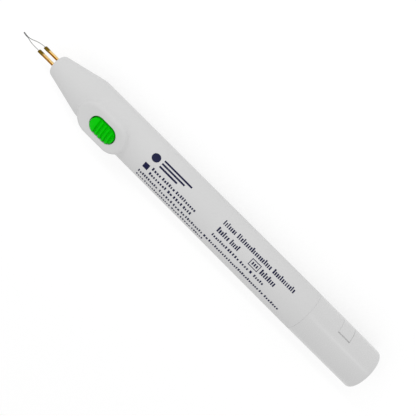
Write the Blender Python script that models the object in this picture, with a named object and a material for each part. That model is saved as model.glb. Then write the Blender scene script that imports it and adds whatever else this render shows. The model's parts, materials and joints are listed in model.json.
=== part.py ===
"""Battery cautery pen: two crimped posts that hold a fine wire loop, a nose cone, a ribbed push button
on a raised pad, a long barrel with two cells in it, and an end cap that pulls off.

The pen lies along X with its tip towards +X and its button straight up. Places along the pen are
stations: millimetres back from the wire's point. Heights and radii are measured from the pen's axis.
"""

from math import cos, pi, radians, sin

import bmesh
import bpy
from mathutils import Matrix, Vector

MM = 0.001

# Whole pen
LENGTH = 178.25
AXIS_HEIGHT = 8.86
ROUND_SIDES = 64
SMALL_SIDES = 32
PIN_SIDES = 20

# Nose, barrel and cap, as stations and radii
NOSE_FACE = 17.1
NOSE_FACE_RADIUS = 3.3
NOSE_ROUND = ((17.32, 3.9), (17.75, 4.25))
NOSE_EDGE = (18.4, 4.57)
CONE_END = (34.4, 8.42)
BARREL_BEND = (35.3, 8.55)
BARREL_START = (36.2, 8.58)
SEAM = 146.9
SEAM_RADIUS = 8.86
SEAM_GAP = 0.2
SEAM_CHAMFER = 0.2
TAIL_RADIUS = 8.72
TAIL_CORNER = 1.1
TAIL_STEPS = 5
NOSE_WALL = 1.5
NOSE_BORE = 3.1
SWITCH_BORE = 7.1
CELL_BORE = 7.35
CELL_BORE_START = 70.0
SPIGOT_RADIUS = 7.95
SPIGOT_END = 156.9
SPIGOT_LEAD = (0.4, 0.3)
CAP_BORE = 8.1
CAP_END_WALL = 1.6

# Raised pad round the button
PAD_FRONT = 36.4
PAD_REAR = 58.6
PAD_WIDTH = 13.5
PAD_TOP = 10.15
PAD_EDGE = 1.5
PAD_EDGE_STEPS = 5
PAD_UNDERSIDE = 8.4

# Cutters: how far they run past what they cut, and the height inside the bore where the upright ones start
OVERCUT = 2.0
CUT_ROOT = 2.0

# Button
BUTTON_CENTRE = 48.2
BUTTON_LENGTH = 11.3
BUTTON_WIDTH = 6.8
BUTTON_CROWN = 11.0
CROWN_FRONT = ((-1.0, -1.1), (1.9, -0.12))
CROWN_REAR = (1.0, -1.3)
BUTTON_GAP = 0.25
BUTTON_FLANGE = (13.3, 9.0)
BUTTON_POCKET = (14.6, 10.0)
FLANGE_TOP = 8.1
FLANGE_THICKNESS = 1.1
STEM_RADIUS = 1.4
RIB_COUNT = 5
RIB_CENTRE = 49.2
RIB_PITCH = 1.6
RIB_DEPTH = 0.42
RIB_FLANK = (0.36, 0.14)

# Posts and wire; the pair of posts is turned about the pen's axis, away from straight up. The wire's
# routes are (station, reach along the pair), one from the upper post to the point and one back
POST_FRONT = 9.1
POST_REAR = 34.6
POST_RADIUS = 0.66
POST_BORE = 0.38
POST_HOLE = 0.78
POST_SIDES = 16
POST_SPACING = 3.18
POST_TURN = radians(19)
CRIMP_LENGTH = 2.2
CRIMP_WIDTH = 0.82
CRIMP_THICKNESS = 0.52
CRIMP_TAPER = (0.5, 0.4)
CRIMP_BORE = (0.34, 0.28)
WIRE_RADIUS = 0.13
WIRE_TURN = 0.17
WIRE_TURN_MIDDLE = 0.5
WIRE_TURN_STEPS = 8
WIRE_OUT = [
    (12.6, 1.59), (10.0, 1.59), (7.9, 1.64), (6.2, 1.62), (4.9, 1.5), (3.8, 1.22), (2.8, 0.96), (1.5, 0.9),
]
WIRE_BACK = [
    (1.5, 0.55), (2.8, 0.56), (3.8, 0.28), (4.9, -0.35), (6.0, -0.95), (7.2, -1.38), (8.2, -1.59),
    (10.0, -1.59), (12.6, -1.59),
]

# Plug that holds the posts
HOLDER_RADII = (2.8, 5.2)
HOLDER_TAPER = 11.5
HOLDER_LENGTH = 13.0

# Strips: thickness and width of the sheet metal, and the lift that keeps stacked pieces apart
STRIP = 0.25
STRIP_WIDTH = 3.0
CLEAR = 0.3

# Switch carrier and its contacts, as stations and heights
CARRIER_BLOCK = 8.0
CARRIER_RADIUS = 6.8
CARRIER_FRONT = 38.0
CONTACT_SHELF = (47.0, 2.4)
LEAF_SHELF = (57.5, 4.6)
CARRIER_FLOOR = 0.5
BULKHEAD = (67.2, 69.4)
LEAF_FRONT = 39.5
LEAF_REAR = 66.0
LEAF_WIDTH = 4.2
LEAF_LIP = (0.8, 0.5)
CONTACT_STATION = 41.0
CONTACT_RADIUS = 0.9
DIMPLE_DEPTH = 0.35
PIP_HEIGHT = 0.5
TAB_REACH = 0.6
RIVET_STATION = 62.5
RIVET_RADIUS = 0.5
RIVET_HOLE = 0.85
RIVET_FOOT = 1.4
RIVET_HEAD = (1.3, 0.5)
LEAF_BOTTOM = LEAF_SHELF[1] + CLEAR
TAB_BOTTOM = LEAF_BOTTOM + STRIP + CLEAR
STEM_FOOT = LEAF_BOTTOM + STRIP + CLEAR
GROOVE_WIDTH = 3.8
GROOVE_START = 60.0
GROOVE_TOP = 8.0
LOWER_GROOVE_TOP = -6.0
STRIP_RUN = 7.45
STRIP_LOW = -6.35
STRIP_START = 60.6
STRIP_RISE = 66.3
PLATE_RADIUS = 3.6
PLATE_TAIL = (-6.2, -1.7)
REAR_PLATE = (7.6, 0.4)

# Cells and the spring behind them
CELL_START = 70.4
CELL_LENGTH = 50.5
CELL_RADIUS = 7.1
JACKET = 0.15
NUB_RADIUS = 2.75
NUB_HEIGHT = 1.3
CAN_GAP = 0.1
CAN_CORNER = 0.5
CAN_BASE = (5.0, 0.2)
JACKET_MARGIN = 0.8
WASHER_RADII = (3.4, 6.1)
WASHER_THICKNESS = 0.3
SPRING_WIRE = 0.4
SPRING_TURNS = 3
SPRING_STEPS = 20
SPRING_RADII = (3.0, 5.6)


def clear_scene():
    for thing in list(bpy.data.objects):
        bpy.data.objects.remove(thing, do_unlink=True)


def material(name, colour, roughness, metallic=0.0):
    made = bpy.data.materials.new(name)
    made.use_nodes = True
    shader = made.node_tree.nodes["Principled BSDF"]
    shader.inputs["Base Color"].default_value = (*colour, 1.0)
    shader.inputs["Roughness"].default_value = roughness
    shader.inputs["Metallic"].default_value = metallic
    return made


def place(station, side=0.0, height=0.0):
    """World position, in metres, of a point given in millimetres."""
    return Vector((LENGTH / 2 - station, side, AXIS_HEIGHT + height)) * MM


def add_object(name, mesh_data, finish, origin=None):
    """Puts world-space mesh data in an object whose origin is the given world point."""
    mesh = bpy.data.meshes.new(name)
    bmesh.ops.recalc_face_normals(mesh_data, faces=mesh_data.faces)
    mesh_data.to_mesh(mesh)
    mesh_data.free()
    piece = bpy.data.objects.new(name, mesh)
    if origin is not None:
        mesh.transform(Matrix.Translation(-origin))
        piece.location = origin
    mesh.materials.append(finish)
    mesh.shade_smooth()
    mesh.set_sharp_from_angle(angle=radians(35))
    bpy.context.collection.objects.link(piece)
    return piece


def arc(centre, radius, start, end, steps):
    """Points on an arc in the plane of stations and radii, from one angle to another in degrees."""
    points = []
    for i in range(steps + 1):
        angle = radians(start + (end - start) * i / steps)
        points.append((centre[0] + radius * cos(angle), centre[1] + radius * sin(angle)))
    return points


def turned_mesh(profile, sides=ROUND_SIDES, side=0.0, height=0.0):
    """Spins (station, radius) points about a line along the pen; the outline closes on itself."""
    mesh_data = bmesh.new()
    corners = [mesh_data.verts.new(place(station, side, height + radius)) for station, radius in profile]
    edges = [mesh_data.edges.new((corners[i - 1], corners[i])) for i in range(len(corners))]
    bmesh.ops.spin(
        mesh_data,
        geom=corners + edges,
        cent=place(0, side, height),
        axis=(1, 0, 0),
        angle=2 * pi,
        steps=sides,
        use_merge=True,
    )
    bmesh.ops.remove_doubles(mesh_data, verts=mesh_data.verts, dist=1e-6)
    bmesh.ops.dissolve_degenerate(mesh_data, edges=mesh_data.edges, dist=1e-7)
    return mesh_data


def turned(name, profile, finish, sides=ROUND_SIDES, side=0.0, height=0.0, origin=None):
    return add_object(name, turned_mesh(profile, sides, side, height), finish, origin)


def prism_mesh(outline, low, high):
    """Raises a plan outline of (station, side) points from one height to another."""
    mesh_data = bmesh.new()
    base = mesh_data.faces.new([mesh_data.verts.new(place(s, y, low)) for s, y in outline])
    raised = bmesh.ops.extrude_face_region(mesh_data, geom=[base])
    moved = [item for item in raised["geom"] if isinstance(item, bmesh.types.BMVert)]
    bmesh.ops.translate(mesh_data, verts=moved, vec=(0, 0, (high - low) * MM))
    return mesh_data


def raised_sideways(outline, width, side=0.0):
    """Raises an outline of (station, height) points across the pen, centred on the given side."""
    mesh_data = bmesh.new()
    face = mesh_data.faces.new([mesh_data.verts.new(place(s, side - width / 2, h)) for s, h in outline])
    raised = bmesh.ops.extrude_face_region(mesh_data, geom=[face])
    moved = [item for item in raised["geom"] if isinstance(item, bmesh.types.BMVert)]
    bmesh.ops.translate(mesh_data, verts=moved, vec=(0, width * MM, 0))
    return mesh_data


def bent_strip(name, path, width, finish, side=0.0):
    """A strip of sheet metal that follows (station, height) points along the middle of its thickness."""
    outline = []
    for hand in (1, -1):
        offsets = []
        for i, point in enumerate(path):
            before = Vector(path[max(i - 1, 0)])
            after = Vector(path[min(i + 1, len(path) - 1)])
            here = Vector(point)
            run_in = (here - before).normalized() if i else (after - here).normalized()
            run_out = (after - here).normalized() if i < len(path) - 1 else run_in
            across = Vector((-(run_in + run_out).y, (run_in + run_out).x)).normalized()
            reach = STRIP / 2 / max(across.dot(Vector((-run_in.y, run_in.x))), 0.5)
            offsets.append(here + across * reach * hand)
        outline += offsets if hand == 1 else offsets[::-1]
    return add_object(name, raised_sideways(outline, width, side), finish)


def rectangle(first, last, width):
    return [(first, -width / 2), (last, -width / 2), (last, width / 2), (first, width / 2)]


def stadium(centre, length, width, steps=12):
    """Plan outline with straight sides and half-round ends."""
    radius = width / 2
    reach = length / 2 - radius
    front = arc((centre + reach, 0), radius, -90, 90, steps)
    return front + arc((centre - reach, 0), radius, 90, 270, steps)


def upright_pin(station, radius, low, high):
    outline = arc((station, 0), radius, 0, 360, PIN_SIDES)[:-1]
    return prism_mesh(outline, low, high)


def tool(mesh_data, name, finish):
    """A cutter or filler: kept in the file as a wire guide, never as a piece."""
    guide = add_object(name, mesh_data, finish)
    guide.hide_render = True
    guide.display_type = "WIRE"
    return guide


def combine(piece, operation, guide):
    step = piece.modifiers.new(guide.name, "BOOLEAN")
    step.operation = operation
    step.object = guide
    step.solver = "EXACT"


def post_centre(hand):
    """Side and height of a post: hand is 1 for the one nearer the button, -1 for the other."""
    reach = hand * POST_SPACING / 2
    return reach * sin(POST_TURN), reach * cos(POST_TURN)


def cut_post_holes(piece, front, rear, guide_finish):
    """Drills both posts' holes through a piece that lies between two stations."""
    for hand in (1, -1):
        side, height = post_centre(hand)
        ends = (front - OVERCUT, rear + OVERCUT)
        drill = [(ends[0], 0), (ends[0], POST_HOLE), (ends[1], POST_HOLE), (ends[1], 0)]
        hole = turned_mesh(drill, PIN_SIDES, side, height)
        combine(piece, "DIFFERENCE", tool(hole, f"guide_{piece.name}_hole_{hand}", guide_finish))


def make_barrel(finish, guide_finish):
    outer = [
        (NOSE_FACE, 0),
        (NOSE_FACE, NOSE_FACE_RADIUS),
        *NOSE_ROUND,
        NOSE_EDGE,
        CONE_END,
        BARREL_BEND,
        BARREL_START,
        (SEAM - SEAM_CHAMFER, SEAM_RADIUS),
        (SEAM, SEAM_RADIUS - SEAM_CHAMFER),
        (SEAM, SPIGOT_RADIUS),
        (SPIGOT_END - SPIGOT_LEAD[0], SPIGOT_RADIUS),
        (SPIGOT_END, SPIGOT_RADIUS - SPIGOT_LEAD[1]),
        (SPIGOT_END, 0),
    ]
    barrel = turned("barrel_shell", outer, finish)

    pad_plan = stadium((PAD_FRONT + PAD_REAR) / 2, PAD_REAR - PAD_FRONT, PAD_WIDTH)
    pad_mesh = prism_mesh(pad_plan, CUT_ROOT, PAD_TOP)
    top_height = place(0, 0, PAD_TOP).z - 1e-6
    top_edges = [e for e in pad_mesh.edges if all(v.co.z > top_height for v in e.verts)]
    bmesh.ops.bevel(
        pad_mesh, geom=top_edges, offset=PAD_EDGE * MM, segments=PAD_EDGE_STEPS, profile=0.5, affect="EDGES"
    )
    combine(barrel, "UNION", tool(pad_mesh, "guide_pad", guide_finish))

    nose_inside = NOSE_FACE + NOSE_WALL
    hollow = [
        (nose_inside, 0),
        (nose_inside, NOSE_BORE),
        (BARREL_START[0], SWITCH_BORE),
        (CELL_BORE_START, SWITCH_BORE),
        (CELL_BORE_START, CELL_BORE),
        (SPIGOT_END + OVERCUT, CELL_BORE),
        (SPIGOT_END + OVERCUT, 0),
    ]
    combine(barrel, "DIFFERENCE", tool(turned_mesh(hollow), "guide_hollow", guide_finish))

    pocket = prism_mesh(stadium(BUTTON_CENTRE, *BUTTON_POCKET), CUT_ROOT, PAD_UNDERSIDE)
    combine(barrel, "DIFFERENCE", tool(pocket, "guide_pocket", guide_finish))
    plan = stadium(BUTTON_CENTRE, BUTTON_LENGTH + 2 * BUTTON_GAP, BUTTON_WIDTH + 2 * BUTTON_GAP)
    opening = prism_mesh(plan, CUT_ROOT, PAD_TOP + OVERCUT)
    combine(barrel, "DIFFERENCE", tool(opening, "guide_opening", guide_finish))
    groove = prism_mesh(rectangle(GROOVE_START, SPIGOT_END + OVERCUT, GROOVE_WIDTH), CUT_ROOT, GROOVE_TOP)
    combine(barrel, "DIFFERENCE", tool(groove, "guide_groove", guide_finish))
    cut_post_holes(barrel, NOSE_FACE, nose_inside, guide_finish)


def make_cap(finish):
    front = SEAM + SEAM_GAP
    corner = arc((LENGTH - TAIL_CORNER, TAIL_RADIUS - TAIL_CORNER), TAIL_CORNER, 90, 0, TAIL_STEPS)
    profile = [
        (front, CAP_BORE),
        (front, SEAM_RADIUS - SEAM_CHAMFER),
        (front + SEAM_CHAMFER, SEAM_RADIUS),
        *corner,
        (LENGTH, 0),
        (LENGTH - CAP_END_WALL, 0),
        (LENGTH - CAP_END_WALL, CAP_BORE),
    ]
    return turned("rear_cap", profile, finish, origin=place(SEAM))


def make_button(finish, guide_finish):
    """The crown is turned about the pen's own axis, so the top follows the barrel; the plan is a stadium."""
    root = FLANGE_TOP - FLANGE_THICKNESS / 2
    body = prism_mesh(stadium(BUTTON_CENTRE, BUTTON_LENGTH, BUTTON_WIDTH), root, BUTTON_CROWN + OVERCUT)
    button = add_object("switch_button", body, finish, place(BUTTON_CENTRE, 0, STEM_FOOT))

    first_rib = RIB_CENTRE - (RIB_COUNT - 1) / 2 * RIB_PITCH
    front = BUTTON_CENTRE - BUTTON_LENGTH / 2
    rear = BUTTON_CENTRE + BUTTON_LENGTH / 2
    crown = [(front + CROWN_FRONT[0][0], 0)]
    crown += [(front + along, BUTTON_CROWN + up) for along, up in CROWN_FRONT]
    for i in range(RIB_COUNT):
        middle = first_rib + i * RIB_PITCH
        edge, floor = (RIB_PITCH * share for share in RIB_FLANK)
        crown.append((middle - edge, BUTTON_CROWN))
        crown.append((middle - floor, BUTTON_CROWN - RIB_DEPTH))
        crown.append((middle + floor, BUTTON_CROWN - RIB_DEPTH))
        crown.append((middle + edge, BUTTON_CROWN))
    crown.append((rear + CROWN_REAR[0], BUTTON_CROWN + CROWN_REAR[1]))
    crown.append((rear + CROWN_REAR[0], 0))
    combine(button, "INTERSECT", tool(turned_mesh(crown, 2 * ROUND_SIDES), "guide_crown", guide_finish))

    flange = prism_mesh(stadium(BUTTON_CENTRE, *BUTTON_FLANGE), FLANGE_TOP - FLANGE_THICKNESS, FLANGE_TOP)
    combine(button, "UNION", tool(flange, "guide_flange", guide_finish))
    stem = upright_pin(BUTTON_CENTRE, STEM_RADIUS, STEM_FOOT, root)
    combine(button, "UNION", tool(stem, "guide_stem", guide_finish))


def make_post(name, hand, finish):
    """A tube pressed flat at its front end. Rings of points are joined into an outer and an inner skin."""
    side, height = post_centre(hand)
    crimp_end = POST_FRONT + CRIMP_LENGTH
    outer = [
        (POST_FRONT, CRIMP_WIDTH, CRIMP_THICKNESS),
        (crimp_end - CRIMP_TAPER[0], CRIMP_WIDTH, CRIMP_THICKNESS),
        (crimp_end + CRIMP_TAPER[1], POST_RADIUS, POST_RADIUS),
        (POST_REAR, POST_RADIUS, POST_RADIUS),
    ]
    inner = [
        (POST_REAR, POST_BORE, POST_BORE),
        (crimp_end + 2 * CRIMP_TAPER[1], POST_BORE, POST_BORE),
        (crimp_end, *CRIMP_BORE),
        (POST_FRONT, *CRIMP_BORE),
    ]
    mesh_data = bmesh.new()
    rings = []
    for station, wide, thick in outer + inner:
        ring = []
        for i in range(POST_SIDES):
            angle = 2 * pi * i / POST_SIDES
            along = wide * cos(angle)
            over = thick * sin(angle)
            across = along * sin(POST_TURN) - over * cos(POST_TURN)
            up = along * cos(POST_TURN) + over * sin(POST_TURN)
            ring.append(mesh_data.verts.new(place(station, side + across, height + up)))
        rings.append(ring)
    for i in range(len(rings)):
        for j in range(POST_SIDES):
            mesh_data.faces.new((rings[i - 1][j - 1], rings[i - 1][j], rings[i][j], rings[i][j - 1]))
    return add_object(name, mesh_data, finish)


def wire_route():
    """The loop's middle line, as (station, reach along the pair), with a tight turn at the point."""
    turn = []
    for i in range(WIRE_TURN_STEPS + 1):
        angle = pi * i / WIRE_TURN_STEPS
        station = WIRE_RADIUS + WIRE_TURN * (1 - sin(angle))
        turn.append((station, WIRE_TURN_MIDDLE + WIRE_TURN * cos(angle)))
    return WIRE_OUT + turn + WIRE_BACK


def smooth(points, steps):
    """Catmull-Rom points through the given ones."""
    padded = [points[0]] + points + [points[-1]]
    line = []
    for i in range(len(points) - 1):
        a, b, c, d = (Vector(p) for p in padded[i : i + 4])
        for j in range(steps):
            t = j / steps
            curved = (2 * a - 5 * b + 4 * c - d) * t**2 + (3 * b - a - 3 * c + d) * t**3
            line.append(b + 0.5 * ((c - a) * t + curved))
    return line + [Vector(points[-1])]


def tube_curve(name, points, radius, finish, rounds):
    """A round bar along world points, as a curve with filled ends."""
    curve = bpy.data.curves.new(name, "CURVE")
    curve.dimensions = "3D"
    curve.bevel_depth = radius * MM
    curve.bevel_resolution = rounds
    curve.use_fill_caps = True
    line = curve.splines.new("POLY")
    line.points.add(len(points) - 1)
    for spot, target in zip(line.points, points):
        spot.co = (*target, 1)
    curve.materials.append(finish)
    piece = bpy.data.objects.new(name, curve)
    bpy.context.collection.objects.link(piece)
    return piece


def make_wire(finish):
    points = []
    for station, along in smooth(wire_route(), 2):
        points.append(place(station, along * sin(POST_TURN), along * cos(POST_TURN)))
    tube_curve("filament_wire", points, WIRE_RADIUS, finish, 1)


def make_post_holder(finish, guide_finish):
    front = NOSE_FACE + NOSE_WALL + CLEAR
    rear = front + HOLDER_LENGTH
    profile = [
        (front, 0),
        (front, HOLDER_RADII[0]),
        (front + HOLDER_TAPER, HOLDER_RADII[1]),
        (rear, HOLDER_RADII[1]),
        (rear, 0),
    ]
    holder = turned("post_holder", profile, finish, SMALL_SIDES)
    cut_post_holes(holder, front, rear, guide_finish)


def make_carrier(finish, guide_finish):
    """Side outline raised across the bore, trimmed to a round, with a groove below and a rivet hole."""
    outline = [
        (CARRIER_FRONT, -CARRIER_BLOCK),
        (CARRIER_FRONT, CONTACT_SHELF[1]),
        CONTACT_SHELF,
        (CONTACT_SHELF[0], CARRIER_FLOOR),
        (LEAF_SHELF[0], CARRIER_FLOOR),
        LEAF_SHELF,
        (BULKHEAD[0], LEAF_SHELF[1]),
        (BULKHEAD[0], CARRIER_BLOCK),
        (BULKHEAD[1], CARRIER_BLOCK),
        (BULKHEAD[1], -CARRIER_BLOCK),
    ]
    carrier = add_object("switch_carrier", raised_sideways(outline, 2 * CARRIER_BLOCK), finish)

    front = CARRIER_FRONT - OVERCUT
    rear = BULKHEAD[1] + OVERCUT
    round_bar = [(front, 0), (front, CARRIER_RADIUS), (rear, CARRIER_RADIUS), (rear, 0)]
    combine(carrier, "INTERSECT", tool(turned_mesh(round_bar), "guide_round", guide_finish))
    groove = prism_mesh(rectangle(front, rear, GROOVE_WIDTH), -CARRIER_BLOCK, LOWER_GROOVE_TOP)
    combine(carrier, "DIFFERENCE", tool(groove, "guide_carrier_groove", guide_finish))
    hole = upright_pin(RIVET_STATION, RIVET_HOLE, RIVET_FOOT - CLEAR, LEAF_SHELF[1] + OVERCUT)
    combine(carrier, "DIFFERENCE", tool(hole, "guide_rivet_hole", guide_finish))


def drill_strip(strip, height, guide_finish):
    """The rivet's hole through a strip that lies at the given height."""
    hole = upright_pin(RIVET_STATION, RIVET_HOLE, height - STRIP, height + STRIP)
    combine(strip, "DIFFERENCE", tool(hole, f"guide_{strip.name}_hole", guide_finish))


def make_switch_contacts(brass, guide_finish):
    leaf_middle = LEAF_BOTTOM + STRIP / 2
    leaf_path = [
        (LEAF_FRONT - LEAF_LIP[0], leaf_middle + LEAF_LIP[1]),
        (LEAF_FRONT, leaf_middle),
        (LEAF_REAR, leaf_middle),
    ]
    leaf = bent_strip("switch_leaf", leaf_path, LEAF_WIDTH, brass)
    dimple = upright_pin(CONTACT_STATION, CONTACT_RADIUS, LEAF_BOTTOM - DIMPLE_DEPTH, leaf_middle)
    combine(leaf, "UNION", tool(dimple, "guide_dimple", guide_finish))
    drill_strip(leaf, leaf_middle, guide_finish)

    side, height = post_centre(1)
    shelf_middle = CONTACT_SHELF[1] + CLEAR + STRIP / 2
    tab_station = POST_REAR + CLEAR + STRIP / 2
    contact_path = [
        (tab_station, height - TAB_REACH),
        (tab_station, shelf_middle),
        (CONTACT_SHELF[0] - TAB_REACH, shelf_middle),
    ]
    fixed = bent_strip("switch_contact", contact_path, STRIP_WIDTH, brass, side)
    pip = upright_pin(CONTACT_STATION, CONTACT_RADIUS, shelf_middle, shelf_middle + PIP_HEIGHT)
    combine(fixed, "UNION", tool(pip, "guide_pip", guide_finish))

    head_low = TAB_BOTTOM + STRIP + CLEAR
    head_radius, head_height = RIVET_HEAD
    shank = upright_pin(RIVET_STATION, RIVET_RADIUS, RIVET_FOOT, head_low + head_height / 2)
    rivet = add_object("leaf_rivet", shank, brass)
    head = upright_pin(RIVET_STATION, head_radius, head_low, head_low + head_height)
    combine(rivet, "UNION", tool(head, "guide_head", guide_finish))


def make_positive_side(brass, guide_finish):
    """The plate that the front cell's nub meets, and the strip from it to the lower post."""
    plate_front = BULKHEAD[1] + CLEAR
    plate_rear = plate_front + STRIP
    profile = [(plate_front, 0), (plate_front, PLATE_RADIUS), (plate_rear, PLATE_RADIUS), (plate_rear, 0)]
    plate = turned("positive_contact", profile, brass, SMALL_SIDES)
    tail = prism_mesh(rectangle(plate_front, plate_rear, STRIP_WIDTH), *PLATE_TAIL)
    combine(plate, "UNION", tool(tail, "guide_plate_tail", guide_finish))

    tab_station = POST_REAR + CLEAR + STRIP / 2
    tab_height = post_centre(-1)[1] + TAB_REACH
    path = [(tab_station, tab_height), (tab_station, STRIP_LOW), (plate_front - CLEAR, STRIP_LOW)]
    bent_strip("positive_strip", path, STRIP_WIDTH, brass)


def make_negative_side(steel, guide_finish):
    """The strip from the leaf's rivet along the barrel, and the cap's plate with the leg that meets it."""
    tab = TAB_BOTTOM + STRIP / 2
    run = STRIP_RUN + STRIP / 2
    path = [(STRIP_START, tab), (STRIP_RISE, tab), (STRIP_RISE, run), (SPIGOT_END - 2 * CLEAR, run)]
    negative = bent_strip("negative_strip", path, STRIP_WIDTH, steel)
    drill_strip(negative, tab, guide_finish)

    radius, thickness = REAR_PLATE
    plate_rear = LENGTH - CAP_END_WALL - CLEAR
    plate_front = plate_rear - thickness
    profile = [(plate_front, 0), (plate_front, radius), (plate_rear, radius), (plate_rear, 0)]
    plate = turned("rear_contact", profile, steel, origin=place(SEAM))
    leg_plan = rectangle(SPIGOT_END - CLEAR, plate_rear - thickness / 4, STRIP_WIDTH)
    leg = prism_mesh(leg_plan, STRIP_RUN, STRIP_RUN + STRIP)
    combine(plate, "UNION", tool(leg, "guide_leg", guide_finish))


def make_cell(name, start, steel, jacket_finish, ring_finish):
    can_radius = CELL_RADIUS - JACKET - CAN_GAP
    front = start + NUB_HEIGHT + CLEAR
    rear = start + CELL_LENGTH
    base_radius, base_step = CAN_BASE
    can = [
        (front, 0),
        (front, can_radius - CAN_CORNER),
        (front + CAN_CORNER, can_radius),
        (rear - CAN_CORNER, can_radius),
        (rear - base_step, can_radius - CAN_CORNER),
        (rear - base_step, base_radius + base_step),
        (rear, base_radius),
        (rear, 0),
    ]
    turned(f"{name}_can", can, steel)
    jacket_front = front + JACKET_MARGIN
    jacket_rear = rear - JACKET_MARGIN
    jacket = [
        (jacket_front, can_radius + CAN_GAP),
        (jacket_front, CELL_RADIUS),
        (jacket_rear, CELL_RADIUS),
        (jacket_rear, can_radius + CAN_GAP),
    ]
    turned(f"{name}_jacket", jacket, jacket_finish)
    washer = front - CLEAR
    inner, outer = WASHER_RADII
    washer_front = washer - WASHER_THICKNESS
    ring = [(washer, inner), (washer, outer), (washer_front, outer), (washer_front, inner)]
    turned(f"{name}_ring", ring, ring_finish, SMALL_SIDES)
    nub = [
        (start, 0),
        (start, NUB_RADIUS - CLEAR),
        (start + CLEAR, NUB_RADIUS),
        (washer, NUB_RADIUS),
        (washer, 0),
    ]
    turned(f"{name}_nub", nub, steel, SMALL_SIDES)


def make_spring(finish):
    """Conical compression spring between the rear cell and the cap's plate."""
    first = CELL_START + 2 * CELL_LENGTH + 2 * CLEAR + SPRING_WIRE
    last = LENGTH - CAP_END_WALL - REAR_PLATE[1] - 2 * CLEAR - SPRING_WIRE
    count = SPRING_TURNS * SPRING_STEPS
    points = []
    for i in range(count + 1):
        part = i / count
        angle = 2 * pi * SPRING_TURNS * part
        radius = SPRING_RADII[0] + (SPRING_RADII[1] - SPRING_RADII[0]) * part
        points.append(place(first + (last - first) * part, radius * cos(angle), radius * sin(angle)))
    tube_curve("rear_spring", points, SPRING_WIRE, finish, 1)


def main():
    clear_scene()
    shell = material("light_grey_moulding", (0.62, 0.62, 0.62), 0.45)
    cap = material("light_grey_cap", (0.62, 0.62, 0.62), 0.32)
    green = material("green_moulding", (0.0, 0.42, 0.01), 0.35)
    brass = material("brass", (0.62, 0.36, 0.12), 0.3, 1.0)
    wire = material("resistance_wire", (0.45, 0.45, 0.46), 0.35, 1.0)
    ceramic = material("white_heat_plug", (0.8, 0.78, 0.72), 0.6)
    inner = material("dark_inner_moulding", (0.12, 0.12, 0.13), 0.5)
    steel = material("plated_steel", (0.55, 0.55, 0.55), 0.3, 1.0)
    jacket = material("cell_jacket", (0.03, 0.05, 0.12), 0.35)
    fibre = material("fibre_washer", (0.75, 0.72, 0.62), 0.8)
    guide = material("guide", (1, 0, 1), 0.5)

    make_barrel(shell, guide)
    make_cap(cap)
    make_button(green, guide)
    make_post("tip_post_top", 1, brass)
    make_post("tip_post_bottom", -1, brass)
    make_wire(wire)
    make_post_holder(ceramic, guide)
    make_carrier(inner, guide)
    make_switch_contacts(brass, guide)
    make_positive_side(brass, guide)
    make_negative_side(steel, guide)
    for i, name in enumerate(("front_cell", "rear_cell")):
        make_cell(name, CELL_START + i * (CELL_LENGTH + CLEAR), steel, jacket, fibre)
    make_spring(steel)


main()
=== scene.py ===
import json
import random
from math import cos, hypot, pi, radians, sin

import bmesh
import bpy
from mathutils import Matrix, Vector


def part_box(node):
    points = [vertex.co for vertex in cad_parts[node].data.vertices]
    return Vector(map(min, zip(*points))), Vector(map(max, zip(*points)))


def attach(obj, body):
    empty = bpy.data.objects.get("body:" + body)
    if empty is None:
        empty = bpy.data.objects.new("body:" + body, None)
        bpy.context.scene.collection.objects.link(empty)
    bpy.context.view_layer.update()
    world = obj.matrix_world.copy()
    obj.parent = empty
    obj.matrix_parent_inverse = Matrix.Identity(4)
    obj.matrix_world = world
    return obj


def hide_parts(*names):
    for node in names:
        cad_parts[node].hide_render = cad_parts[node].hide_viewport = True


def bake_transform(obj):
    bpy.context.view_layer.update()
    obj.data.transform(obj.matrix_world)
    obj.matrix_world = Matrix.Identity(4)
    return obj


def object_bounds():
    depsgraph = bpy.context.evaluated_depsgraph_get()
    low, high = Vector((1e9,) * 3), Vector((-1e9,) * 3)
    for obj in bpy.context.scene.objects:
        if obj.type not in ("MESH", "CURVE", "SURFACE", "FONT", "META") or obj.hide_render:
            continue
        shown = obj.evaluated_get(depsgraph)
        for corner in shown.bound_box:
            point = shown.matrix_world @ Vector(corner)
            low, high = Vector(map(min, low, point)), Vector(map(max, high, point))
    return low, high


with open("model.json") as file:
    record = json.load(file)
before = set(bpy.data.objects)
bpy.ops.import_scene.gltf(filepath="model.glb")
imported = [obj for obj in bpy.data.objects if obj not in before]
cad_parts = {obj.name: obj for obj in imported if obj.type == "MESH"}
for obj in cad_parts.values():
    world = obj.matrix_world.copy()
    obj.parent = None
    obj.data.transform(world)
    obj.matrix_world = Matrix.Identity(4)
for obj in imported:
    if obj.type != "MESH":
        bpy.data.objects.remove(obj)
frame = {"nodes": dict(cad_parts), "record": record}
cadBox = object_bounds()
nodes = frame["nodes"]
mm = 0.001

tipX = cadBox[1].x  # the wire's point
capLow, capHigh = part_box("rear_cap")
axisZ = (capLow.z + capHigh.z) / 2  # the pen's own axis
print("frame loaded:", len(nodes), "nodes")


def at(station, side=0.0, up=0.0):
    # a place on the pen in mm: back from the wire's point, across, and above the axis
    return Vector((tipX - station * mm, side * mm, axisZ + up * mm))


def stationOf(x):
    return (tipX - x) / mm


# camera, floor and lights

view = dict(roll=32, reach=219.8, aim=94.7, aside=-1.79, lens=51.05, sensor=36, nearest=10)

roll = radians(view["roll"])  # how far round the pen the camera stands from straight above
alongPen = Vector((1, 0, 0))
acrossPen = Vector((0, cos(roll), sin(roll)))
towardsCamera = Vector((0, -sin(roll), cos(roll)))
frameUp = (alongPen - acrossPen).normalized()
frameRight = -(alongPen + acrossPen).normalized()


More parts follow.
